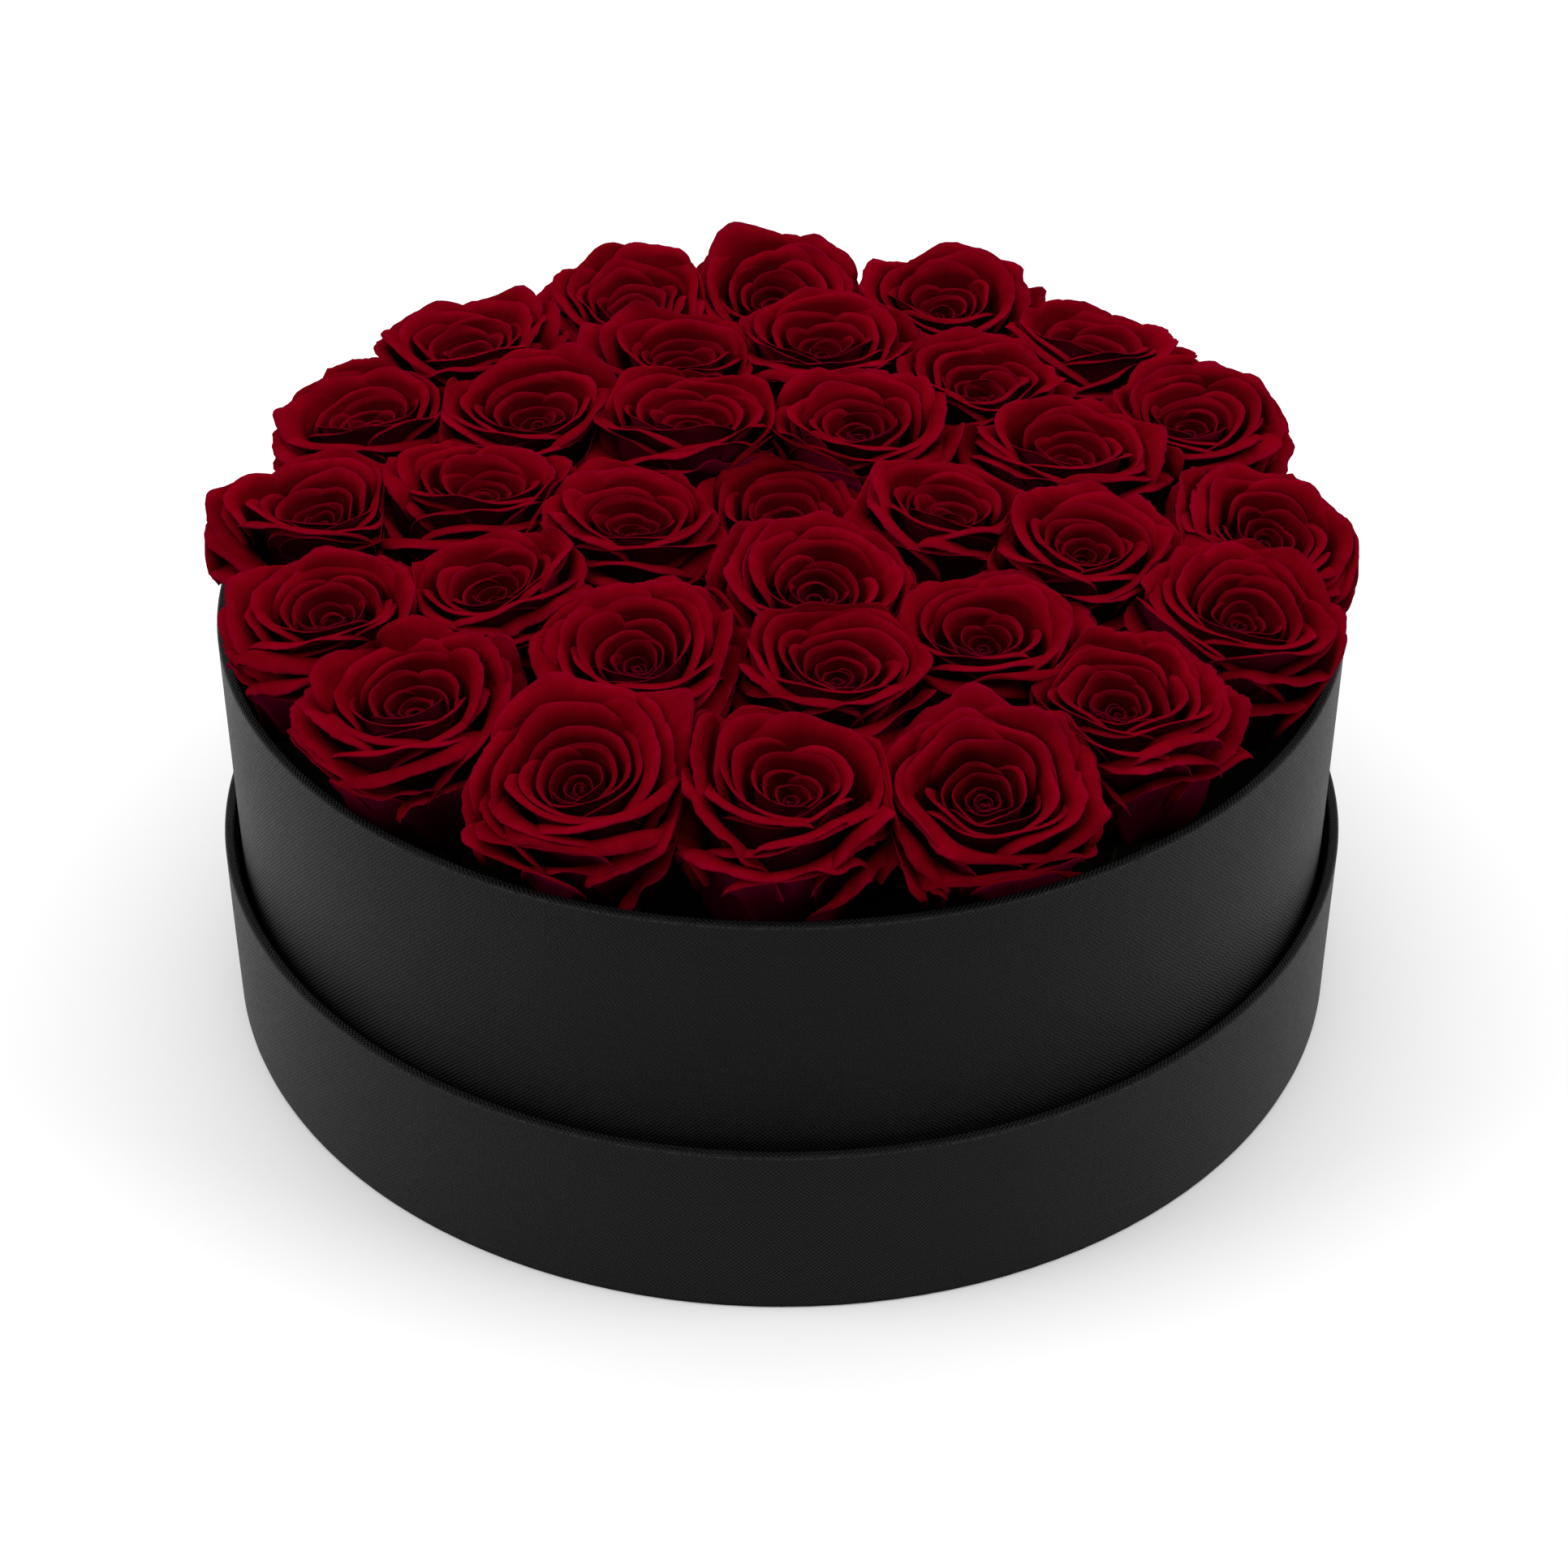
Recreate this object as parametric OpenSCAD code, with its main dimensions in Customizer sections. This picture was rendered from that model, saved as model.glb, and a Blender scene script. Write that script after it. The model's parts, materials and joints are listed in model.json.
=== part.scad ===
// Round flower box: a rigid hat box filled with rose heads, standing in its own upturned lid.
// The origin is at the centre of the lid's underside, +Z is up and -Y is the front. Millimetres.

/* [Box] */
// Outer diameter of the box, over its paper
box_d = 320; // [300:1:360]
// Height of the box by itself
box_h = 123.6; // [116:0.1:140]

/* [Base tray] */
// Height of the upturned lid
tray_h = 54.3; // [40:0.1:70]
// Radial gap between the box and the lid's lining
slip_gap = 1.6; // [1:0.1:3]

/* [Card and paper] */
// Thickness of the greyboard
board_t = 2.2; // [1.8:0.1:3]
// Thickness of the embossed cover paper
wrap_t = 0.3; // [0.2:0.05:0.4]
// Thickness of the plain lining paper
lining_t = 0.2; // [0.1:0.05:0.3]
// Thickness of the glue between two layers
glue_t = 0.1; // [0.08:0.01:0.12]
// How far the cover paper runs down inside the rim
turn_in = 18; // [10:1:25]
// How far the base paper runs up the wall, under the wall's own paper
turn_up = 6; // [5:1:20]
// Height of the strip of base paper that shows below the wall's paper
seam_h = 1.2; // [0.8:0.1:2]
// Radius of the rim's rounded corners, over the paper
lip_round = 0.9; // [0.7:0.1:1.2]

/* [Filling] */
// Radial room between the foam disc and the box's lining
foam_room = 6.75; // [3:0.25:12]
// Height of the foam disc
foam_h = 75; // [60:1:76]
// Diameter of a rose's stem
stem_d = 5.5; // [4:0.5:6]
// How deep a stem stands in the foam
stem_depth = 35; // [20:1:45]
// Height of a calyx
calyx_h = 8; // [5:1:9]
// Height of a rose head
head_h = 50; // [46:1:52]
// Depth of a head's heart below its highest petals
heart_depth = 6; // [4:1:8]
// Largest radius of a head's plain solid
head_r_max = 25; // [22:0.5:26]
// Air left between two heads
head_gap = 0.8; // [0.5:0.1:2]
// Distance of the outer ring of hearts from the box's axis
outer_r = 134; // [131:1:136]
// Distance of the middle ring of hearts
middle_r = 89; // [87:1:91]
// Distance of the inner ring of hearts
inner_r = 46; // [44:1:48]
// Height of the hearts above the rim in the middle of the dome
dome_rise = 32; // [30:1:34]
// How much lower the hearts are at the edge of the dome
dome_fall = 8; // [6:1:9]
// Outward lean of the heads at the edge of the dome, in degrees
edge_lean = 8; // [0:1:10]

/* [Hidden] */
// The heads stand in three rings on a shallow dome, round one low head near the middle.
ring_counts = [16, 11, 5, 1];
ring_starts = [270, 277, 274, 90]; // direction of each ring's first head, in degrees
middle_off = 2; // distance of the low head from the box's axis
ring_distances = [outer_r, middle_r, inner_r, middle_off];
middle_drop = 12; // how far it sits below the dome
dome_r = 134; // distance at which a head has the whole of edge_lean and of dome_fall
// How unevenly heads set by hand stand: in direction, in distance and in height.
uneven_turn = 1.2;
uneven_r = 1.5;
uneven_z = 1.2;
// An irregular value from -1 to 1 for head k of a ring; rate sets which one.
function uneven(k, ring, rate) = sin(rate * k + 50 * ring);
function dome_z(distance) = dome_rise - dome_fall * pow(distance / dome_r, 2);
// Each rose: direction in degrees, distance from the centre, height of its heart above the rim.
function ring_heads(ring) = [
    for (k = [0:ring_counts[ring] - 1])
    let (
        turn = ring_starts[ring] + 360 * k / ring_counts[ring] + uneven_turn * uneven(k, ring, 151),
        distance = ring_distances[ring] + uneven_r * uneven(k, ring, 97),
        drop = ring_counts[ring] == 1 ? middle_drop : 0
    )
    [turn, distance, dome_z(distance) - drop + uneven_z * uneven(k, ring, 223)]
];
roses = [for (ring = [0:len(ring_counts) - 1]) each ring_heads(ring)];
rose_count = len(roses);
layout_d = 320; // box diameter at which the distances above hold
layout_scale = box_d / layout_d;

// Layers of a drum's wall, from its outside radius inwards.
function board_r(r) = r - wrap_t - glue_t;
function board_ir(r) = board_r(r) - board_t;
function flap_r(r) = board_ir(r) - glue_t;
function flap_ir(r) = flap_r(r) - wrap_t;
function lining_r(r) = flap_ir(r) - glue_t;
function lining_ir(r) = lining_r(r) - lining_t;
// The plate's board lies inside its turned-up cover paper.
function plate_r(r) = board_r(r) - wrap_t - fold_play;

box_r = box_d / 2;
tray_r = box_r + slip_gap + box_r - lining_ir(box_r);
skin_t = wrap_t + glue_t; // glued cover paper over the board
plate_z = skin_t; // underside of a plate's board
plate_top = plate_z + board_t;
floor_z = plate_top + glue_t; // underside of the paper on a plate
floor_top = floor_z + lining_t;
box_z = floor_top; // underside of the box, on the lid's floor
rim_z = box_z + box_h;
foam_z = box_z + floor_top;
foam_r = lining_ir(box_r) - foam_room;
foam_top = foam_z + foam_h;
lining_drop = 4; // how far the lining ends below the rim
floor_play = 0.3; // radial gap between the floor paper and the wall's board
fold_play = 0.25; // radial gap between a plate's edge and its turned-up cover paper
cover_corner = 0.25; // radius of the cover paper's lower corner
heart_z = head_h - heart_depth;
base_share = 0.36; // radius of a head's base, as a share of its widest radius
belly_share = 0.66; // height of the widest place, as a share of head_h
outline_step = 15; // degrees along each of the two curves of a head's outline
socket_gap = 0.1; // room round a stem in its socket
tiny = 0.01; // overlap of a cutting shape past the face it cuts

// Place of a rose's heart, and its lean away from the box's axis.
function rose_xy(i) = layout_scale * roses[i][1] * [cos(roses[i][0]), sin(roses[i][0])];
function rose_z(i) = rim_z + roses[i][2];
function rose_lean(i) = edge_lean * roses[i][1] / dome_r;
function nearest(i) = min([for (j = [0:rose_count - 1]) if (j != i) norm(rose_xy(i) - rose_xy(j))]);
function head_r(i) = min(head_r_max, (nearest(i) - head_gap) / 2);
// Length of a stem from its calyx to its end in the foam, along its own axis.
function stem_length(i) = (rose_z(i) - foam_top + stem_depth) / cos(rose_lean(i)) - heart_z - calyx_h;

function two_digits(n) = str(n < 10 ? "0" : "", n);
rose_names = [for (i = [1:rose_count]) str("rose_", two_digits(i))];
$fn = 96;

paper_black = [0.07, 0.07, 0.075];
lining_black = [0.04, 0.04, 0.04];
board_grey = [0.52, 0.5, 0.47];
foam_green = [0.09, 0.11, 0.08];
stem_green = [0.22, 0.33, 0.14];
petal_red = [0.5, 0.01, 0.07];

// A strip's cross-section from radius r0 to r1 and height z0 to z1, with both upper corners rounded.
module lip_section(r0, r1, z0, z1, corner) {
    translate([r0, z0])
        square([r1 - r0, z1 - corner - z0]);
    translate([r0 + corner, z0])
        square([r1 - r0 - 2 * corner, z1 - z0]);
    for (x = [r0 + corner, r1 - corner])
        translate([x, z1 - corner])
            circle(corner);
}

// Greyboard wall of a drum, thinned at the foot for the turned-up base paper.
module wall_board(r, h) {
    color(board_grey)
        rotate_extrude()
            difference() {
                lip_section(board_ir(r), board_r(r), floor_z, h - skin_t, lip_round - skin_t);
                translate([plate_r(r), floor_z - tiny])
                    square([board_t, turn_up + glue_t - floor_z + tiny]);
            }
}

// Cover paper: up the outside, over the rim and down the inside.
module wall_wrap(r, h) {
    color(paper_black)
        rotate_extrude()
            difference() {
                lip_section(flap_ir(r), r, seam_h, h, lip_round);
                lip_section(flap_r(r), r - wrap_t, 0, h - wrap_t, lip_round - wrap_t);
                translate([flap_ir(r) - tiny, 0])
                    square([wrap_t + 2 * tiny, h - turn_in]);
            }
}

// Lining paper inside the wall, over the end of the turned-in cover paper.
module wall_lining(r, h) {
    color(lining_black)
        rotate_extrude()
            translate([lining_ir(r), floor_top])
                square([lining_t, h - lining_drop - floor_top]);
}

// Greyboard plate that closes a drum.
module plate_board(r) {
    color(board_grey)
        translate([0, 0, plate_z])
            cylinder(h = board_t, r = plate_r(r));
}

// Paper under the plate, turned up round the foot of the wall.
module plate_cover(r) {
    color(paper_black)
        rotate_extrude()
            union() {
                square([board_r(r) - cover_corner, wrap_t]);
                translate([board_r(r) - wrap_t, cover_corner])
                    square([wrap_t, turn_up - cover_corner]);
                translate([board_r(r) - cover_corner, cover_corner])
                    circle(cover_corner);
            }
}

// Round paper on top of the plate, inside the wall.
module floor_paper(r) {
    color(lining_black)
        translate([0, 0, floor_z])
            cylinder(h = lining_t, r = board_ir(r) - floor_play);
}

// Carries its children from a rose's own frame, with its heart at the origin, to rose i's place.
module at_rose(i) {
    xy = rose_xy(i);
    translate([xy.x, xy.y, rose_z(i)])
        rotate([0, 0, roses[i][0]])
            rotate([0, rose_lean(i), 0])
                children();
}

// Outline of a head: a cup that swells to radius r, closed by a low dome. Its base is at height 0.
function head_outline(r) = concat(
    [[0, 0]],
    [for (a = [0:outline_step:90]) [
        r * (base_share + (1 - base_share) * sin(a)),
        head_h * belly_share * (1 - cos(a))
    ]],
    [for (a = [outline_step:outline_step:90]) [
        r * cos(a),
        head_h * (belly_share + (1 - belly_share) * sin(a))
    ]]
);

module rose_head(i) {
    color(petal_red)
        at_rose(i)
            translate([0, 0, -heart_z])
                rotate_extrude()
                    polygon(head_outline(head_r(i)));
}

module calyx(i) {
    at_rose(i)
        translate([0, 0, -heart_z - calyx_h])
            cylinder(h = calyx_h, r1 = stem_d / 2, r2 = head_r(i) * base_share);
}

// One stem, thickened by grow all round.
module stem(i, grow) {
    at_rose(i)
        translate([0, 0, -heart_z - calyx_h - stem_length(i) - grow])
            cylinder(h = stem_length(i) + grow, d = stem_d + 2 * grow);
}

module rose_calyxes() {
    color(stem_green)
        for (i = [0:rose_count - 1])
            calyx(i);
}

module rose_stems() {
    color(stem_green)
        for (i = [0:rose_count - 1])
            stem(i, 0);
}

// Foam with one socket for each stem.
module foam_disc() {
    color(foam_green)
        difference() {
            translate([0, 0, foam_z])
                cylinder(h = foam_h, r = foam_r);
            for (i = [0:rose_count - 1])
                stem(i, socket_gap);
        }
}

wall_board(tray_r, tray_h);  // tray_wall_board
wall_wrap(tray_r, tray_h);  // tray_wrap
wall_lining(tray_r, tray_h);  // tray_lining
plate_board(tray_r);  // tray_plate_board
plate_cover(tray_r);  // tray_plate_cover
floor_paper(tray_r);  // tray_floor_paper

translate([0, 0, box_z]) wall_board(box_r, box_h);  // box_wall_board
translate([0, 0, box_z]) wall_wrap(box_r, box_h);  // box_wrap
translate([0, 0, box_z]) wall_lining(box_r, box_h);  // box_lining
translate([0, 0, box_z]) plate_board(box_r);  // box_base_board
translate([0, 0, box_z]) plate_cover(box_r);  // box_base_cover
translate([0, 0, box_z]) floor_paper(box_r);  // box_floor_paper

foam_disc();
rose_stems();
rose_calyxes();
for (i = [0:rose_count - 1])
    rose_head(i);
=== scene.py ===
"""The looks of a round flower box: embossed papers, foam, stems and 33 roses, built round its frame."""

import json
import math
from collections import namedtuple

import bpy
import numpy as np
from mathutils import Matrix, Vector

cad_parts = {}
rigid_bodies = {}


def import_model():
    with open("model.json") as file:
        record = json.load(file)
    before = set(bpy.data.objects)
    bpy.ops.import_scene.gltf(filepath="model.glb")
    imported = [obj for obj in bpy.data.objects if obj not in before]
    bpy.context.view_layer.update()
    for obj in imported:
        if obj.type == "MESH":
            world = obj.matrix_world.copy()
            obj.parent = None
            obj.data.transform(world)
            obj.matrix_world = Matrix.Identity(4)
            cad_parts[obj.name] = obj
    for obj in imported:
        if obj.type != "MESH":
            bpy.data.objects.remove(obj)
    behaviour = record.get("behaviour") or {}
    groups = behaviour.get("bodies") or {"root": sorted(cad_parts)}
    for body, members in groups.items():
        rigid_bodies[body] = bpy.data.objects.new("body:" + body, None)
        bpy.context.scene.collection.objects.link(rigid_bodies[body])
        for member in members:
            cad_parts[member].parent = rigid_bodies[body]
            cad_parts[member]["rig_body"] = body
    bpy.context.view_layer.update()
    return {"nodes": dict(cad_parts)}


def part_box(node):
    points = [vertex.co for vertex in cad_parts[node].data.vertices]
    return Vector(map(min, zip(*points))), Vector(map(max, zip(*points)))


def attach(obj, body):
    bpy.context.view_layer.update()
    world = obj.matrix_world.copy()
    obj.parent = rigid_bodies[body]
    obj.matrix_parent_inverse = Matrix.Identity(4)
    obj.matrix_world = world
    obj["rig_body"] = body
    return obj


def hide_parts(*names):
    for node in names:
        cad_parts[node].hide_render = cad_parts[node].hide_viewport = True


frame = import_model()

MM = 0.001
# Layers of the drums' walls, as in the CAD model
PAPER = 0.3 * MM
GLUE = 0.1 * MM
LIP_ROUND = 0.9 * MM
TURN_IN = 18 * MM
# Paper that overlaps where its two ends meet on a wall
OVERLAP = 15 * MM
# Roses, as in the CAD model
EDGE_LEAN = math.radians(8)
DOME_RADIUS = 134 * MM
HEART_DEPTH = 6 * MM
BELLY_DEPTH = 11 * MM
HEAD_DEPTH = 44 * MM
CALYX_HEIGHT = 8 * MM
STEM_RADIUS = 2.75 * MM
HEAD_RADIUS = 25 * MM

BOX_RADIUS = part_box("box_wrap")[1].x
RIM_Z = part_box("box_wrap")[1].z
LINING_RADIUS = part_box("box_lining")[1].x - 0.2 * MM


# ---------------------------------------------------------------- meshes

BACK_V = 2    # added to v on the back of a sheet


class Mesher:
    """Collects faces with their texture coordinates and makes one mesh piece of them."""

    def __init__(self):
        self.points, self.faces, self.uvs, self.count = [], [], [], 0

    def add(self, points, faces, uvs):
        """points (n, 3) in metres; faces (m, k) of point numbers; uvs (m, k, 2)."""
        self.points.append(points)
        for corners, uv in zip(faces, uvs, strict=True):
            self.faces.append(corners + self.count)
            self.uvs.append(uv)
        self.count += len(points)

    def piece(self, name, material, sharp=None):
        points = np.vstack(self.points).astype(np.float32)
        loops = np.concatenate([f.ravel() for f in self.faces]).astype(np.int32)
        sizes = np.concatenate([np.full(len(f), f.shape[1]) for f in self.faces])
        mesh = bpy.data.meshes.new(name)
        mesh.vertices.add(len(points))
        mesh.vertices.foreach_set("co", points.ravel())
        mesh.loops.add(len(loops))
        mesh.loops.foreach_set("vertex_index", loops)
        mesh.polygons.add(len(sizes))
        mesh.polygons.foreach_set("loop_start", (np.cumsum(sizes) - sizes).astype(np.int32))
        mesh.update(calc_edges=True)
        layer = mesh.uv_layers.new(name="sheet")
        layer.data.foreach_set("uv", np.concatenate([u.ravel() for u in self.uvs]).astype(np.float32))
        mesh.shade_smooth()
        if sharp is not None:
            mesh.set_sharp_from_angle(angle=math.radians(sharp))
        mesh.materials.append(material)
        made = bpy.data.objects.new(name, mesh)
        bpy.context.scene.collection.objects.link(made)
        return made


def grid_normals(grid):
    across = np.cross(np.gradient(grid, axis=0), np.gradient(grid, axis=1))
    return across / (np.linalg.norm(across, axis=2, keepdims=True) + 1e-12)


def add_sheet(mesher, grid, thickness, first_u=0.0):
    """A thin closed sheet round a grid of points (rows, columns, 3), with v from 0 to 1 over the rows."""
    rows, cols, _ = grid.shape
    half = grid_normals(grid) * thickness / 2
    points = np.vstack([(grid + half).reshape(-1, 3), (grid - half).reshape(-1, 3)])
    number = np.arange(rows * cols).reshape(rows, cols)
    u, v = np.meshgrid(first_u + np.linspace(0, 0.98, cols), np.linspace(0, 0.98, rows))
    uv = np.stack([u, v], -1).reshape(-1, 2)
    quads = np.stack([number[:-1, :-1], number[1:, :-1], number[1:, 1:], number[:-1, 1:]], -1)
    quads = quads.reshape(-1, 4)
    turned_over = quads[:, ::-1]
    loop = np.concatenate([number[0], number[1:, -1], number[-1, -2::-1], number[-2:0:-1, 0]])
    ahead = np.roll(loop, -1)
    back = rows * cols
    rim = np.stack([loop, ahead, ahead + back, loop + back], -1)
    rim_uv = uv[np.stack([loop, ahead, ahead, loop], -1)]
    uvs = [uv[quads], uv[turned_over] + (0, BACK_V), rim_uv]
    mesher.add(points, [quads, turned_over + back, rim], uvs)


def add_lathe(mesher, rings, closed, lengths_u, lengths_v):
    """Rings (n, segments, 3) joined in order. closed joins the last to the first, else both are capped."""
    count, segments, _ = rings.shape
    number = np.arange(count * segments).reshape(count, segments)
    last = count if closed else count - 1
    i, j = np.meshgrid(np.arange(last), np.arange(segments), indexing="ij")
    i, j = i.ravel(), j.ravel()
    up, side = (i + 1) % count, (j + 1) % segments
    quads = np.stack([number[i, j], number[i, side], number[up, side], number[up, j]], -1)
    u = np.append(lengths_u, 2 * lengths_u[-1] - lengths_u[-2])
    v = np.append(lengths_v, 2 * lengths_v[-1] - lengths_v[-2])
    uv = np.stack([np.stack([u[j], v[i]], -1), np.stack([u[j + 1], v[i]], -1),
                   np.stack([u[j + 1], v[i + 1]], -1), np.stack([u[j], v[i + 1]], -1)], 1)
    faces, uvs = [quads], [uv]
    if not closed:
        for ring, points in ((number[0][::-1], rings[0][::-1]), (number[-1], rings[-1])):
            faces.append(ring[None, :])
            uvs.append(points[None, :, :2] / MM)
    mesher.add(rings.reshape(-1, 3), faces, uvs)


def turned_about_z(x, y, z, angle):
    cos, sin = math.cos(angle), math.sin(angle)
    return np.stack([x * cos - y * sin, x * sin + y * cos, z], -1)


def smooth_noise(rng, count, harmonics, fall):
    """A smooth random curve of count samples, about one high."""
    x = np.linspace(0, 1, count)
    waves = [rng.normal() * np.sin(math.pi * k * x + rng.uniform(0, 2 * math.pi)) / k**fall
             for k in range(1, harmonics + 1)]
    return np.sum(waves, axis=0) / math.sqrt(harmonics)


# ---------------------------------------------------------------- material nodes

def node(tree, kind, inputs=None, **settings):
    """Adds a shader node; inputs maps its sockets to numbers, colours or other nodes' outputs."""
    made = tree.nodes.new("ShaderNode" + kind)
    for key, value in settings.items():
        setattr(made, key, value)
    for key, value in (inputs or {}).items():
        if isinstance(value, bpy.types.NodeSocket):
            tree.links.new(value, made.inputs[key])
        else:
            made.inputs[key].default_value = value
    return made


def maths(tree, operation, a, b=0.0):
    return node(tree, "Math", {0: a, 1: b}, operation=operation).outputs[0]


def spread(tree, value, low, high, to_low, to_high):
    """value from low..high to to_low..to_high, clamped."""
    return node(tree, "MapRange", {0: value, 1: low, 2: high, 3: to_low, 4: to_high}).outputs[0]


def noise(tree, vector, scale, detail=3.0):
    return node(tree, "TexNoise", {"Vector": vector, "Scale": scale, "Detail": detail}).outputs[0]


def mix(tree, share, a, b, blend_type="MIX"):
    return node(tree, "Mix", {0: share, 6: a, 7: b}, data_type="RGBA", blend_type=blend_type).outputs[2]


def new_material(name, roughness, specular):
    material = bpy.data.materials.new(name)
    material.use_nodes = True
    shader = material.node_tree.nodes["Principled BSDF"]
    shader.inputs["Roughness"].default_value = roughness
    shader.inputs["Specular IOR Level"].default_value = specular
    return material, material.node_tree, shader


def bump(tree, shader, height, strength, distance):
    made = node(tree, "Bump", {"Strength": strength, "Distance": distance, "Height": height})
    tree.links.new(made.outputs[0], shader.inputs["Normal"])


def scaled(tree, vector, scale):
    return node(tree, "Mapping", {"Vector": vector, "Scale": scale}).outputs[0]


# Millimetres between two threads of the embossing, round the wall and up it
WARP_PITCH, WEFT_PITCH = 1.33, 1.28


def cover_paper(name, on_sheet):
    """Black paper embossed with a fine linen weave. Its coordinates are millimetres.

    On a sheet they are u and v, and v is 0 at the edge where the wall turns into its rim. That edge is
    painted lighter: partly wear, partly a painted highlight.
    On a CAD node they are the place on the node.
    """
    material, tree, shader = new_material(name, 0.42, 0.08)
    if on_sheet:
        place = node(tree, "UVMap", uv_map="sheet").outputs[0]
    else:
        place = scaled(tree, node(tree, "TexCoord").outputs["Object"], (1 / MM, 1 / MM, 1 / MM))
    drift = maths(tree, "MULTIPLY", noise(tree, scaled(tree, place, (1, 2.5, 1)), 0.12, 3.0), 6.0)
    parts = node(tree, "SeparateXYZ", {0: place}).outputs
    waves = []
    for axis, pitch in ((0, WARP_PITCH), (1, WEFT_PITCH)):
        turn = maths(tree, "MULTIPLY", parts[axis], 2 * math.pi / pitch)
        waves.append(maths(tree, "SINE", maths(tree, "ADD", turn, drift)))
    weave = maths(tree, "MULTIPLY", waves[0], waves[1])
    weft = noise(tree, scaled(tree, place, (0.25, 1.6, 1)), 1.0)
    warp = noise(tree, scaled(tree, place, (1.6, 0.25, 1)), 1.0)
    slubs = maths(tree, "ADD", weft, warp)
    relief = maths(tree, "ADD", maths(tree, "MULTIPLY", weave, 0.8), slubs)
    bump(tree, shader, relief, 1.0, 0.2 * MM)
    tone = maths(tree, "ADD", relief, noise(tree, place, 0.03, 4.0))
    dark, light = (0.0001, 0.0001, 0.0002, 1), (0.0050, 0.0050, 0.0052, 1)
    colour = mix(tree, spread(tree, tone, 0.5, 2.5, 0, 1), dark, light)
    if on_sheet:
        # Lighter, rubbed band on the rounded edge where the wall turns into its rim: partly wear, partly a
        # painted highlight along the edge
        from_edge = maths(tree, "ABSOLUTE", maths(tree, "SUBTRACT", parts[1], 0.35))
        near_edge = spread(tree, from_edge, 0.1, 0.4, 1, 0)
        rubbed = spread(tree, noise(tree, place, 0.9, 3.0), 0.35, 0.65, 0, 1)
        wear_and_highlight = maths(tree, "MULTIPLY", near_edge, rubbed)
        colour = mix(tree, wear_and_highlight, colour, (0.016, 0.016, 0.017, 1))
    tree.links.new(colour, shader.inputs["Base Color"])
    tree.links.new(spread(tree, slubs, 0.6, 1.4, 0.35, 0.49), shader.inputs["Roughness"])
    return material


def fibre_paper(name, dark, light, specular, grain):
    """Plain uncoated paper or card: short fibres and faint clouds."""
    material, tree, shader = new_material(name, 0.8, specular)
    place = node(tree, "TexCoord").outputs["Object"]
    fibres = noise(tree, scaled(tree, place, (1, 2.6, 1.7)), grain, 6.0)
    clouds = noise(tree, place, 45.0, 3.0)
    tone = maths(tree, "ADD", maths(tree, "MULTIPLY", fibres, 0.65), maths(tree, "MULTIPLY", clouds, 0.35))
    tree.links.new(mix(tree, spread(tree, tone, 0.3, 0.7, 0, 1), dark, light), shader.inputs["Base Color"])
    bump(tree, shader, fibres, 0.35, 0.05 * MM)
    return material


def foam_material():
    """Dry floral foam: dull green, full of fine open pores."""
    material, tree, shader = new_material("floral_foam", 0.95, 0.1)
    place = node(tree, "TexCoord").outputs["Object"]
    pores = node(tree, "TexVoronoi", {"Vector": place, "Scale": 900.0}, feature="F1").outputs["Distance"]
    clouds = noise(tree, place, 60.0, 4.0)
    tone = maths(tree, "ADD", maths(tree, "MULTIPLY", pores, 0.6), maths(tree, "MULTIPLY", clouds, 0.5))
    dark, light = (0.002, 0.0026, 0.0018, 1), (0.008, 0.010, 0.0065, 1)
    colour = mix(tree, spread(tree, tone, 0.2, 0.8, 0, 1), dark, light)
    tree.links.new(colour, shader.inputs["Base Color"])
    bump(tree, shader, maths(tree, "ADD", pores, maths(tree, "MULTIPLY", clouds, 0.8)), 0.8, 0.5 * MM)
    return material


def green_material(name, dark, light):
    """Stems and sepals: green skin with lengthwise streaks that browns in patches."""
    material, tree, shader = new_material(name, 0.6, 0.3)
    place = node(tree, "TexCoord").outputs["Object"]
    streaks = noise(tree, scaled(tree, place, (1, 1, 0.12)), 900.0, 3.0)
    patches = noise(tree, place, 110.0, 3.0)
    colour = mix(tree, streaks, dark, light)
    colour = mix(tree, spread(tree, patches, 0.52, 0.72, 0, 0.7), colour, (0.07, 0.022, 0.012, 1))
    tree.links.new(colour, shader.inputs["Base Color"])
    bump(tree, shader, streaks, 0.4, 0.15 * MM)
    return material


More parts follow.
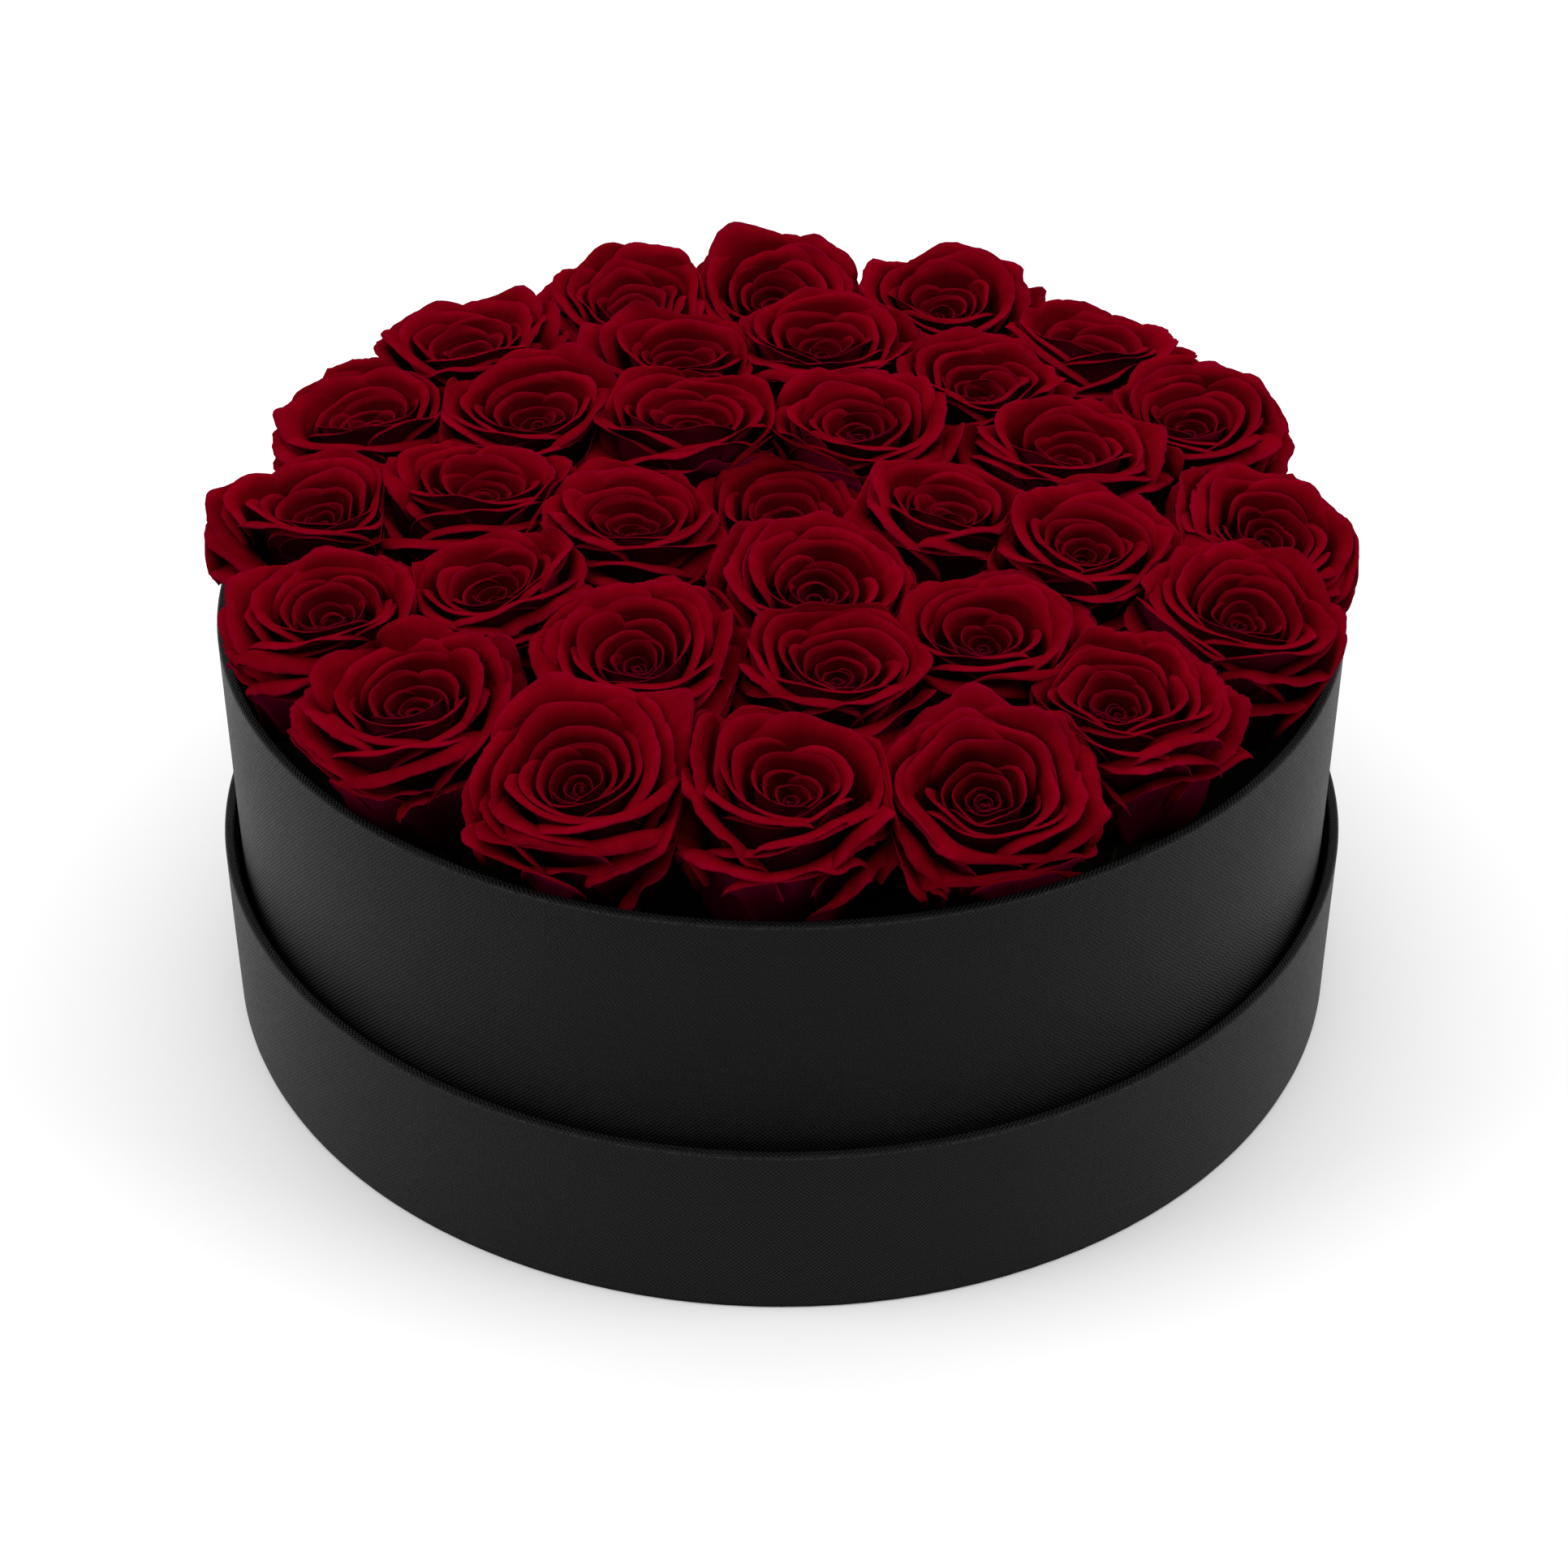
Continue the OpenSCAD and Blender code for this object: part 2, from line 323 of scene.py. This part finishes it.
def petal_material():
    """Velvety crimson petals. On their sheets u holds the petal's number and v runs from foot to rim."""
    material, tree, shader = new_material("rose_petal", 0.8, 0.0)
    place = node(tree, "UVMap", uv_map="sheet").outputs[0]
    parts = node(tree, "SeparateXYZ", {0: place}).outputs
    back = maths(tree, "GREATER_THAN", parts[1], BACK_V - 0.5)
    up = maths(tree, "FRACT", parts[1])
    number = maths(tree, "FLOOR", parts[0])
    order = maths(tree, "MODULO", number, PETAL_NUMBERS)
    own = node(tree, "TexWhiteNoise", {"W": number}, noise_dimensions="1D").outputs[0]
    veins = noise(tree, scaled(tree, place, (26, 1.6, 1)), 1.0, 4.0)
    body = node(tree, "TexCoord").outputs["Object"]
    clouds = noise(tree, body, 130.0, 3.0)
    nap = noise(tree, body, 2600.0, 2.0)
    # Darker towards each petal's foot: partly the petal's own darker base, partly painted shade deep in the
    # cup
    foot, lit = (0.034, 0.0001, 0.0008, 1), (0.100, 0.0002, 0.0028, 1)
    colour = mix(tree, spread(tree, up, 0.3, 0.92, 0, 1), foot, lit)
    edge = maths(tree, "MULTIPLY", spread(tree, up, 0.86, 0.98, 0, 0.5), clouds)
    colour = mix(tree, edge, colour, (0.072, 0.0001, 0.0125, 1))
    guard = spread(tree, order, 18, 30, 0.45, 0.85)
    # Backs of the guard petals: their own purple tone, with painted shade that darkens them towards the foot
    shaded_back_foot, back_rim = (0.024, 0.0001, 0.0045, 1), (0.070, 0.0001, 0.0150, 1)
    back_tone_and_shade = mix(tree, spread(tree, up, 0.3, 0.75, 0, 1), shaded_back_foot, back_rim)
    colour = mix(tree, maths(tree, "MULTIPLY", back, guard), colour, back_tone_and_shade)
    # Inner petals darker: partly their own deeper colour, partly painted shade in the recessed heart
    heart = spread(tree, order, 0, 14, 0.50, 1.0)
    colour = mix(tree, heart, (0.032, 0.0001, 0.0028, 1), colour)
    own_shade = spread(tree, own, 0, 1, -0.12, 0.1)
    vein_shade = spread(tree, veins, 0.3, 0.7, -0.07, 0.07)
    cloud_shade = spread(tree, clouds, 0.3, 0.7, 0.86, 1.12)
    shade = maths(tree, "ADD", maths(tree, "ADD", own_shade, vein_shade), cloud_shade)
    light = node(tree, "CombineXYZ", {0: shade, 1: shade, 2: shade}).outputs[0]
    tree.links.new(mix(tree, 1.0, colour, light, "MULTIPLY"), shader.inputs["Base Color"])
    shader.inputs["Sheen Weight"].default_value = 0.06
    shader.inputs["Sheen Roughness"].default_value = 0.4
    shader.inputs["Sheen Tint"].default_value = (0.5, 0.0, 0.02, 1)
    height = maths(tree, "ADD", veins, maths(tree, "MULTIPLY", nap, 0.35))
    bump(tree, shader, height, 0.25, 0.12 * MM)
    return material


# ---------------------------------------------------------------- papers and card

WALL_SEGMENTS = 480
WALL_ROWS = 25


def arc(centre_r, centre_z, radius, start, end, steps):
    """Points of an arc in the (radius, height) plane, angles in degrees."""
    a = np.radians(np.linspace(start, end, steps))
    return np.stack([centre_r + radius * np.cos(a), centre_z + radius * np.sin(a)], -1)


def wrap_profile(outer, inner, low, high):
    """Closed outline of the paper that goes up a wall, over its rim and down inside."""
    corner = LIP_ROUND
    heights = np.linspace(low, high - corner, WALL_ROWS + 1)[:-1]
    skin = np.vstack([
        np.stack([np.full(len(heights), outer), heights], -1),
        arc(outer - corner, high - corner, corner, 0, 90, 9),
        arc(inner + corner, high - corner, corner, 90, 180, 9),
        [[inner, high - TURN_IN * 0.4], [inner, high - TURN_IN]],
    ])
    tangent = np.gradient(skin, axis=0)
    inward = np.stack([-tangent[:, 1], tangent[:, 0]], -1)
    inward /= np.linalg.norm(inward, axis=1, keepdims=True)
    return skin, skin + inward * PAPER * 0.95


def wall_wrap(name, node_name, lining_name, seam_at, seed, material):
    """Embossed paper on a drum's wall. Its ends overlap at the direction seam_at, in degrees."""
    rng = np.random.default_rng(seed)
    low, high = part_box(node_name)
    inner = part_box(lining_name)[1].x + GLUE
    outside, inside = wrap_profile(high.x, inner, low.z, high.z)
    overlap = OVERLAP / high.x
    start = math.radians(seam_at)
    hair = 1e-4
    angles = np.linspace(0, 2 * math.pi, WALL_SEGMENTS, endpoint=False)
    angles = np.sort(np.append(angles, [start - hair, start + hair]))
    past = (angles - start) / overlap
    doubled = np.where((past > 0) & (past < 1.6), np.clip(1.6 - past, 0, 0.6) / 0.6, 0.0)
    wobble = 0.07 * MM * sum(rng.normal() * np.sin(k * angles + rng.uniform(0, 6.28)) for k in range(3, 11))
    foot = 0.1 * MM * sum(rng.normal() * np.sin(k * angles + rng.uniform(0, 6.28)) for k in (7, 13, 23, 41))
    rings = []
    profile = np.vstack([outside, inside[::-1]])
    length = np.concatenate([[0], np.cumsum(np.linalg.norm(np.diff(outside, axis=0), axis=1))])
    length = np.concatenate([length, length[::-1]]) - length[WALL_ROWS]
    for k, (r, z) in enumerate(profile):
        is_outer = k < len(outside) and z < high.z - LIP_ROUND * 0.5 and r > high.x - 0.1 * MM
        swell = math.sin(math.pi * min(1, max(0, (z - low.z) / (high.z - low.z))))
        radius = r + wobble * swell * (1 if r > inner + 1 * MM else 0)
        radius = radius + (doubled * PAPER * 0.8 if is_outer else 0)
        height = np.full(len(angles), z) + (np.abs(foot) if z < low.z + 0.2 * MM else 0)
        rings.append(np.stack([radius * np.cos(angles), radius * np.sin(angles), height], -1))
    mesher = Mesher()
    add_lathe(mesher, np.array(rings), True, angles * high.x / MM, length / MM)
    made = mesher.piece(name, material, sharp=50)
    return finish_piece(made, frame_body(node_name), "cover_paper", node_name)


def frame_body(node_name):
    return frame["nodes"][node_name]["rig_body"]


def finish_piece(made, body, slot, *nodes):
    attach(made, body)
    if nodes:
        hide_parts(*nodes)
    return made


def dress_cad_nodes(cover, lining, board):
    """Gives the CAD nodes that stay their materials."""
    looks = {
        "wall_board": board, "plate_board": board, "base_board": board,
        "lining": lining, "floor_paper": lining,
        "plate_cover": cover, "base_cover": cover,
    }
    for name, held in frame["nodes"].items():
        for ending, material in looks.items():
            if name.endswith(ending):
                held.data.materials.clear()
                held.data.materials.append(material)


# ---------------------------------------------------------------- foam, stems and sepals

def foam_block(material):
    """The foam disc with a softened, slightly crumbled edge."""
    rng = np.random.default_rng(5)
    low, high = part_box("foam_disc")
    radius, corner = high.x, 1.6 * MM
    top = np.linspace(2 * MM, radius - corner, 46)
    profile = np.vstack([
        np.stack([top[::3], np.full(len(top[::3]), low.z)], -1),
        arc(radius - corner, low.z + corner, corner, -80, 0, 5),
        np.stack([np.full(12, radius), np.linspace(low.z + 3 * MM, high.z - 3 * MM, 12)], -1),
        arc(radius - corner, high.z - corner, corner, 0, 80, 6),
        np.stack([top[::-1], np.full(len(top), high.z)], -1),
    ])
    angles = np.linspace(0, 2 * math.pi, 240, endpoint=False)
    rings = []
    for r, z in profile:
        rough = rng.normal(size=len(angles)) * 0.12 * MM
        dented = rng.random(len(angles)) < 0.05 if r > radius - 3 * MM and z > high.z - 3 * MM else 0
        inset = np.abs(rough) + dented * 0.8 * MM
        on_top = z > high.z - 0.01 * MM
        radii = r - (0 if on_top else inset)
        heights = np.full(len(angles), z) - (inset if on_top else 0)
        rings.append(np.stack([radii * np.cos(angles), radii * np.sin(angles), heights], -1))
    mesher = Mesher()
    lengths = np.concatenate([[0], np.cumsum(np.linalg.norm(np.diff(profile, axis=0), axis=1))])
    add_lathe(mesher, np.array(rings), False, angles * radius / MM, lengths / MM)
    made = mesher.piece("foam_block", material)
    return finish_piece(made, "rose_insert", "foam", "foam_disc")


RosePlace = namedtuple("RosePlace", "name heart out side axis radius")


def rose_places():
    """Each rose head's heart, its own axes and its plain solid's radius, from the CAD nodes."""
    places = []
    for name in sorted(n for n in frame["nodes"] if n.startswith("rose_") and n[5:].isdigit()):
        low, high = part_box(name)
        middle = (low + high) / 2
        distance = math.hypot(middle.x, middle.y)
        lean = EDGE_LEAN * distance / DOME_RADIUS
        flat = np.array([middle.x, middle.y, 0]) / distance
        up = np.array([0, 0, 1.0])
        axis = up * math.cos(lean) + flat * math.sin(lean)
        out = flat * math.cos(lean) - up * math.sin(lean)
        side = np.cross(axis, out)
        heart = np.array([middle.x, middle.y, high.z - HEART_DEPTH * math.cos(lean)])
        heart += flat * BELLY_DEPTH * math.sin(lean)
        radius = ((high.x - low.x) + (high.y - low.y)) / 4
        places.append(RosePlace(name, heart, out, side, axis, radius))
    return places


def to_world(place, points):
    """Points from a rose's own frame, in millimetres, to the row frame."""
    return place.heart + MM * (points[..., :1] * place.out + points[..., 1:2] * place.side
                               + points[..., 2:] * place.axis)


def rose_stems(places, material):
    """A cut stem under each head, slightly crooked, with its end in the foam."""
    rng = np.random.default_rng(8)
    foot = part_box("rose_stems")[0].z
    mesher = Mesher()
    angles = np.linspace(0, 2 * math.pi, 18, endpoint=False)
    for place in places:
        top = -(HEAD_DEPTH + CALYX_HEIGHT * 0.4) / MM
        bottom = -(place.heart[2] - foot - 2 * MM) / MM / place.axis[2]
        heights = np.linspace(bottom, top, 22)
        bend = smooth_noise(rng, len(heights), 3, 1.0) * 0.25
        width = STEM_RADIUS / MM * (0.90 + 0.05 * smooth_noise(rng, len(heights), 9, 0.3))
        ribs = 1 + 0.035 * np.sin(5 * angles + rng.uniform(0, 6.28))
        rings = np.stack([
            bend[:, None] + width[:, None] * ribs * np.cos(angles),
            width[:, None] * ribs * np.sin(angles),
            np.repeat(heights[:, None], len(angles), 1),
        ], -1)
        add_lathe(mesher, to_world(place, rings), False, angles, heights)
    return finish_piece(mesher.piece("cut_stems", material, sharp=60), "rose_insert", "stem", "rose_stems")


SEPAL_THICKNESS = 0.35 * MM
# Outline of the hip under a head: radius, and height above the head's foot, in millimetres
HIP = ((2.6, -8.0), (3.2, -6.6), (4.6, -5.0), (5.6, -3.2), (5.8, -1.4), (5.2, 0.2), (3.6, 1.6))


def rose_sepals(places, material):
    """The hip and five narrow sepals under each head."""
    rng = np.random.default_rng(9)
    mesher = Mesher()
    angles = np.linspace(0, 2 * math.pi, 24, endpoint=False)
    base = -HEAD_DEPTH / MM
    hip = np.array(HIP)
    hip_rings = np.stack([hip[:, :1] * np.cos(angles), hip[:, :1] * np.sin(angles),
                          np.repeat(base + hip[:, 1:], len(angles), 1)], -1)
    for place in places:
        add_lathe(mesher, to_world(place, hip_rings), False, angles, hip[:, 1])
        for k in range(5):
            turn = 2 * math.pi * (k + rng.uniform(-0.15, 0.15)) / 5
            along = np.linspace(0, 1, 14)
            across = np.linspace(-1, 1, 7)
            taper = np.sqrt(np.clip(1 - along, 0, 1))
            belly = 0.75 + 0.5 * np.sin(math.pi * along**0.7)
            width = 3.4 * taper * belly * 0.8 + 0.12
            curl = rng.uniform(0.2, 1.3)
            reach = 5.0 + 8.5 * along - 2.5 * along**2 + curl * along**2 * 3
            height = base - 0.4 + 12.5 * along - (4 + 12 * curl) * along**3
            x = reach[:, None] - 0.09 * (width[:, None] * across) ** 2
            y = width[:, None] * across[None, :]
            z = np.repeat(height[:, None], len(across), 1)
            add_sheet(mesher, to_world(place, turned_about_z(x, y, z, turn)), SEPAL_THICKNESS)
    return finish_piece(mesher.piece("sepals", material, sharp=60), "rose_insert", "stem", "rose_calyxes")


# ---------------------------------------------------------------- roses

Whorl = namedtuple("Whorl", "petals radius step rim opening roll turn half foot foot_z ragged rows cols")
# From the heart out. Lengths in millimetres from the heart, angles in degrees:
# radius at the top of the cup and its step from petal to petal, height of the rim, lean of the cup's
# edge, length and turn of the rolled rim, half the width, the place of the petal's foot, how ragged its
# edge is, and the rows and columns of its grid.
WHORLS = (
    Whorl(3, 0.9, 0.8, -7.4, -14, 0.6, 16, 150, 0.5, -22, 0.05, 16, 19),
    Whorl(2, 3.5, 0.9, -6.2, -8, 0.9, 28, 125, 1.0, -25, 0.08, 16, 19),
    Whorl(3, 5.6, 1.0, -4.8, -2, 1.3, 42, 104, 1.6, -28, 0.12, 18, 19),
    Whorl(3, 8.9, 1.1, -2.6, 4, 2.1, 54, 92, 2.6, -31, 0.16, 20, 21),
    Whorl(3, 12.4, 1.1, -0.6, 10, 2.9, 64, 82, 3.8, -34, 0.25, 22, 23),
    Whorl(4, 15.9, 0.8, 0.6, 16, 3.9, 74, 74, 5.0, -37, 0.4, 24, 25),
    Whorl(5, 19.0, 0.5, 0.2, 24, 5.0, 82, 62, 6.2, -40, 0.7, 26, 33),
    Whorl(4, 21.6, 0.5, -2.0, 32, 6.2, 84, 60, 7.2, -42, 1.0, 28, 39),
    Whorl(4, 23.2, 0.4, -6.6, 42, 7.2, 74, 58, 7.8, -43, 1.2, 28, 41),
    Whorl(4, 24.0, 0.3, -12.0, 30, 6.4, 80, 58, 7.8, -43.5, 1.3, 30, 41),
)
# The heads at the back are dressed to face the front.
FRONT_TURN = math.radians(9)
GOLDEN_TURN = math.radians(137.5)
PETAL_NUMBERS = 50    # texture numbers kept for each rose
PETAL_THICKNESS = 0.26 * MM
PETAL_COUNT = sum(w.petals for w in WHORLS)
ROLLED_SHARE = 0.42    # of a petal's rows, in its rolled rim
# How petals give way: over what distance, how far off a neighbouring heart can be, and how much
# farther out than below the rim they may reach once they are RISE above it.
SOFTNESS = 5 * MM
NEIGHBOUR_REACH = 75 * MM
OVERHANG = 7 * MM
RISE = 12 * MM


def petal_grid(rng, whorl, order, outer, azimuth, hand):
    """One petal's middle surface (rows, columns, 3), in millimetres, from its foot to its rim."""
    rows, cols = whorl.rows, whorl.cols
    s = np.linspace(-1, 1, cols)
    radius = (whorl.radius + whorl.step * order) * (1 + 0.04 * rng.normal())
    rim = whorl.rim + rng.normal() * (0.5 + 1.4 * outer) - 0.5 * order * outer
    opening = math.radians(whorl.opening + rng.normal() * (3 + 7 * outer))
    roll = whorl.roll * (1 + 0.18 * rng.normal())
    turn = math.radians(whorl.turn) * (1 + 0.16 * rng.normal())
    half = math.radians(whorl.half) * (1 + 0.08 * rng.normal())
    tip_at, tip_size = rng.uniform(-0.4, 0.4), rng.uniform(0.2, 1.0)
    tilt = rng.normal() * (0.08 + 0.24 * outer)
    uneven = rng.normal() * (0.06 + 0.24 * outer)
    shoulder = np.clip(1 - np.abs(s) ** 4.0, 0, 1) ** 0.6
    tip = np.exp(-(((s - tip_at) / 0.24) ** 2))
    edge = whorl.ragged * (0.9 * smooth_noise(rng, cols, 13, 0.4) + 0.25 * rng.normal(size=cols))
    top_z = rim - (1 - shoulder) * (rim - whorl.foot_z) * (0.2 + 0.12 * outer) + tilt * s * radius
    top_r = radius * (1 + hand * (0.12 - 0.06 * outer) * s)
    height = top_z - whorl.foot_z
    roll_rows = int(rows * ROLLED_SHARE)
    t = np.linspace(0, 1, rows - roll_rows)[:, None]
    weights = (1 - t) ** 3, 3 * (1 - t) ** 2 * t, 3 * (1 - t) * t**2, t**3
    handle = height * (0.45 - 0.19 * outer)
    spread_out = (top_r - whorl.foot) * 0.88
    knots_r = (whorl.foot, whorl.foot + spread_out, top_r - math.sin(opening) * handle, top_r)
    knots_z = (whorl.foot_z, whorl.foot_z + height * 0.08, top_z - math.cos(opening) * handle, top_z)
    cup_r = sum(w * k for w, k in zip(weights, knots_r, strict=True))
    cup_z = sum(w * k for w, k in zip(weights, knots_z, strict=True))
    length = roll * (1 + tip_size * tip * (0.5 + 0.3 * outer)) * (0.35 + 0.65 * shoulder) + edge
    length = np.maximum(length, 0.35) / roll_rows
    q = np.linspace(0, 1, roll_rows + 1)[1:, None]
    angle = opening + turn * (1 - 0.3 * tip + 0.3 * s**2 + uneven * s) * q**0.9
    r = np.vstack([cup_r, top_r + np.cumsum(np.sin(angle) * length, axis=0)])
    z = np.vstack([cup_z, top_z + np.cumsum(np.cos(angle) * length, axis=0)])
    v = np.linspace(0, 1, rows)[:, None]
    width = half * (0.4 + 0.6 * np.sin(np.clip(v * 1.35, 0, 1) * math.pi / 2))
    flatness = 1.08 + 0.2 * outer
    bow = np.maximum(r, 0.4) * flatness
    psi = s * width / flatness
    x, y = r - bow * (1 - np.cos(psi)), bow * np.sin(psi)
    return turned_about_z(x, y, z, azimuth)


def ripple(rng, grid, amount, frequency, start, power):
    """Soft waves across a petal that grow from start, a share of its height, to the rim."""
    rows, cols, _ = grid.shape
    v, s = np.linspace(0, 1, rows)[:, None], np.linspace(0, 1, cols)[None, :]
    wave = np.zeros((rows, cols))
    for _ in range(5):
        across, along = frequency * rng.uniform(0.5, 1.6), rng.uniform(0.3, 2.0)
        wave += rng.normal() * np.sin(2 * math.pi * (across * s + along * v) + rng.uniform(0, 2 * math.pi))
    grown = np.clip((v - start) / (1 - start), 0, 1) ** power
    return grid + grid_normals(grid) * (wave * grown * amount / math.sqrt(5))[:, :, None]


def press(points, place, others):
    """Presses a head's petals back to about 1 mm past the planes between it and its neighbours.

    Petals of two heads can still cross there. Below the rim they are kept off the box's wall.
    """
    for other in others:
        apart = (other.heart - place.heart)[:2]
        distance = np.linalg.norm(apart)
        if distance > NEIGHBOUR_REACH or other is place:
            continue
        towards = apart / distance
        limit = distance * place.radius / (place.radius + other.radius) + 1.0 * MM - SOFTNESS
        over = np.maximum((points[..., :2] - place.heart[:2]) @ towards - limit, 0)
        points[..., :2] += towards * (SOFTNESS * np.tanh(over / SOFTNESS) - over)[..., None]
    reach = np.linalg.norm(points[..., :2], axis=-1)
    above = np.clip((points[..., 2] - RIM_Z) / RISE, 0, 1)
    limit = LINING_RADIUS - 1.5 * MM - SOFTNESS + above * OVERHANG
    over = np.maximum(reach - limit, 0)
    points[..., :2] *= (1 + (SOFTNESS * np.tanh(over / SOFTNESS) - over) / reach)[..., None]
    return points


def rose_head(place, index, others, material):
    """A full rose: whorls of petals a golden turn apart, from a tight heart to loose guard petals."""
    rng = np.random.default_rng(100 + index)
    hand = 1 if rng.random() < 0.5 else -1
    azimuth = rng.uniform(0, 2 * math.pi)
    size = 0.82 + 0.20 * place.radius / HEAD_RADIUS
    lobes = [(k, rng.normal() * 0.055 / k**0.5, rng.uniform(0, 2 * math.pi)) for k in (1, 2, 3, 5)]
    nod = rng.normal(size=2) * math.radians(3.5)
    turned = FRONT_TURN * max(0, place.heart[1]) / DOME_RADIUS
    facing = -turned * np.array([place.out[1], place.side[1]])
    mesher = Mesher()
    order = 0
    for whorl in WHORLS:
        for k in range(whorl.petals):
            share = order / (PETAL_COUNT - 1)
            outer = max(0.0, (share - 0.45) / 0.55)
            azimuth += hand * GOLDEN_TURN + rng.normal() * 0.2
            grid = petal_grid(rng, whorl, k, outer, azimuth, hand)
            grid = ripple(rng, grid, 0.22 + 0.33 * share, 0.9, 0.3, 1.0)
            grid = ripple(rng, grid, 0.04 + 0.70 * outer**1.3, 2.6 + 1.6 * outer, 0.55, 1.6)
            around = np.arctan2(grid[..., 1], grid[..., 0])
            grid[..., :2] *= (size + sum(a * np.sin(k * around + turn) for k, a, turn in lobes))[..., None]
            grid[..., 2] *= size
            share_up = 1 + grid[..., 2:] * MM / HEAD_DEPTH
            grid[..., :2] += share_up * (nod * HEAD_DEPTH / MM + facing * grid[..., 2:])
            grid[..., 2] -= share_up[..., 0] * (grid[..., :2] @ (nod + facing))
            add_sheet(mesher, press(to_world(place, grid), place, others), PETAL_THICKNESS,
                      index * PETAL_NUMBERS + order)
            order += 1
    made = mesher.piece(f"rose_head_{index:02d}", material)
    return finish_piece(made, "rose_insert", "petal", place.name)


# ---------------------------------------------------------------- stage

def soft_light(name, direction, width, strength):
    """Even light from a wide patch of sky. direction points to its middle; width is its angle in degrees."""
    data = bpy.data.lights.new(name, "SUN")
    data.angle, data.energy = math.radians(width), strength
    made = bpy.data.objects.new(name, data)
    made.rotation_euler = Vector(direction).to_track_quat("Z", "Y").to_euler()
    bpy.context.scene.collection.objects.link(made)


SKY_LIGHT = 0.44
FLOOR_RADII = (8.0, 0.5)    # metres; the floor is a ring round a disc
# The camera looks down from the front at the middle of the box. Its lengths are in radii of the box.
CAMERA_LENS = 75.76
CAMERA_ELEVATION = math.radians(36.09)
CAMERA_DISTANCE = 6.163
CAMERA_TARGET = (0.0042, 0, 0.3357)


def pale_floor():
    material, tree, shader = new_material("pale_floor", 0.9, 0.1)
    place = node(tree, "TexCoord").outputs["Object"]
    tone = mix(tree, noise(tree, place, 3.0, 2.0), (0.56, 0.56, 0.56, 1), (0.57, 0.57, 0.57, 1))
    tree.links.new(tone, shader.inputs["Base Color"])
    angles = np.linspace(0, 2 * math.pi, 96, endpoint=False)
    radii = np.array(FLOOR_RADII)
    rings = np.stack([radii[:, None] * np.cos(angles), radii[:, None] * np.sin(angles),
                      np.zeros((2, len(angles)))], -1)
    mesher = Mesher()
    number = np.arange(2 * len(angles)).reshape(2, -1)
    ahead = np.roll(number, -1, axis=1)
    ring = np.stack([number[0], ahead[0], ahead[1], number[1]], -1)
    disc = number[1][None, :]
    points = rings.reshape(-1, 3)
    mesher.add(points, [ring, disc], [points[ring][..., :2], points[disc][..., :2]])
    mesher.piece("floor", material)


def lights():
    """Soft light from above and from both sides, and a white sky that is dimmer than it looks."""
    soft_light("top_light", (0, 0.17, 1), 100, 4.0)
    soft_light("left_light", (-0.87, -0.1, 0.48), 37, 1.95)
    soft_light("right_light", (0.87, -0.1, 0.48), 37, 1.85)
    world = bpy.data.worlds.new("studio")
    world.use_nodes = True
    sky = world.node_tree
    background = sky.nodes["Background"]
    background.inputs["Color"].default_value = (1, 1, 1, 1)
    seen = node(sky, "LightPath").outputs["Is Camera Ray"]
    sky.links.new(spread(sky, seen, 0, 1, SKY_LIGHT, 1.0), background.inputs["Strength"])
    bpy.context.scene.world = world


def front_camera():
    data = bpy.data.cameras.new("camera")
    data.lens, data.sensor_width = CAMERA_LENS, 36.0
    camera = bpy.data.objects.new("camera", data)
    bpy.context.scene.collection.objects.link(camera)
    back = Vector((0, -math.cos(CAMERA_ELEVATION), math.sin(CAMERA_ELEVATION)))
    camera.location = Vector(CAMERA_TARGET) * BOX_RADIUS + back * CAMERA_DISTANCE * BOX_RADIUS
    camera.rotation_euler = (-back).to_track_quat("-Z", "Y").to_euler()
    bpy.context.scene.camera = camera


# ---------------------------------------------------------------- the whole object

def main():
    pale_floor()
    lights()
    front_camera()
    bpy.context.scene.view_settings.view_transform = "Standard"
    cover = cover_paper("cover_paper", True)
    lining = fibre_paper("lining_paper", (0.004, 0.004, 0.004, 1), (0.008, 0.008, 0.008, 1), 0.1, 900.0)
    board = fibre_paper("greyboard", (0.16, 0.15, 0.13, 1), (0.30, 0.28, 0.25, 1), 0.3, 1400.0)
    dress_cad_nodes(cover_paper("plate_paper", False), lining, board)
    wall_wrap("tray_paper", "tray_wrap", "tray_lining", 97, 1, cover)
    wall_wrap("box_paper", "box_wrap", "box_lining", 84, 2, cover)
    places = rose_places()
    foam_block(foam_material())
    rose_stems(places, green_material("stem_skin", (0.03, 0.055, 0.012, 1), (0.075, 0.11, 0.03, 1)))
    rose_sepals(places, green_material("sepal_skin", (0.02, 0.045, 0.01, 1), (0.06, 0.095, 0.025, 1)))
    petals = petal_material()
    for index, place in enumerate(places, start=1):
        rose_head(place, index, places, petals)


main()
